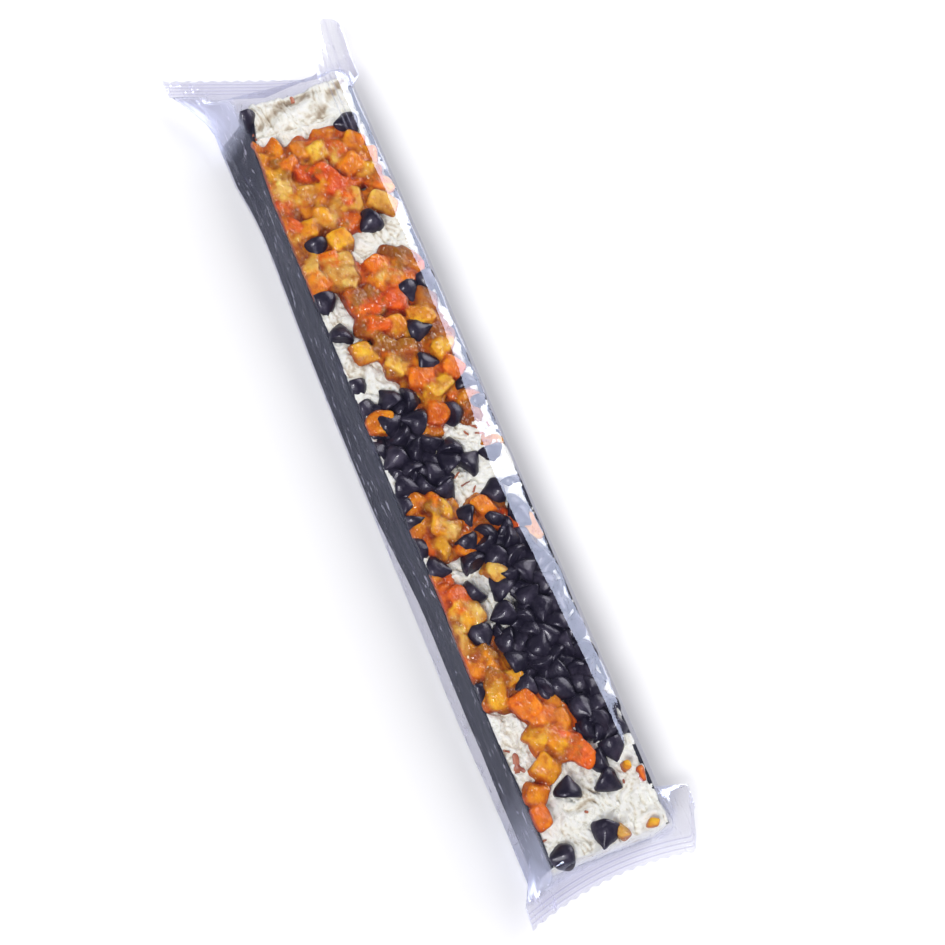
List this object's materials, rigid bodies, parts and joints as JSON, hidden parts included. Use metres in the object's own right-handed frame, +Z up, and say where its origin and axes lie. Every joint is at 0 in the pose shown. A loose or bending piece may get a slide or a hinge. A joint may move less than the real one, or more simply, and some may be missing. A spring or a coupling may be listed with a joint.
{
  "type": "nougat bar",
  "caption": "Long soft nougat bar with candied orange and chocolate chips on top, in a clear wrapper sealed by a crimped fin at each end.",
  "frame": {"origin": "middle of the bar's flat base, under the centre of the bar without its fins", "axes": "+X along the bar towards the plain fin, +Y across the bar, +Z up from the base"},
  "size_m": [0.3412, 0.0769, 0.0266],
  "materials": {
    "film": "clear glossy film",
    "nougat": "soft matt, torn surface",
    "candied_orange": "wet translucent gloss",
    "dark_chocolate": "satin"
  },
  "bodies": {
    "root": {"wrapped_bar": "film"}
  },
  "joints": []
}
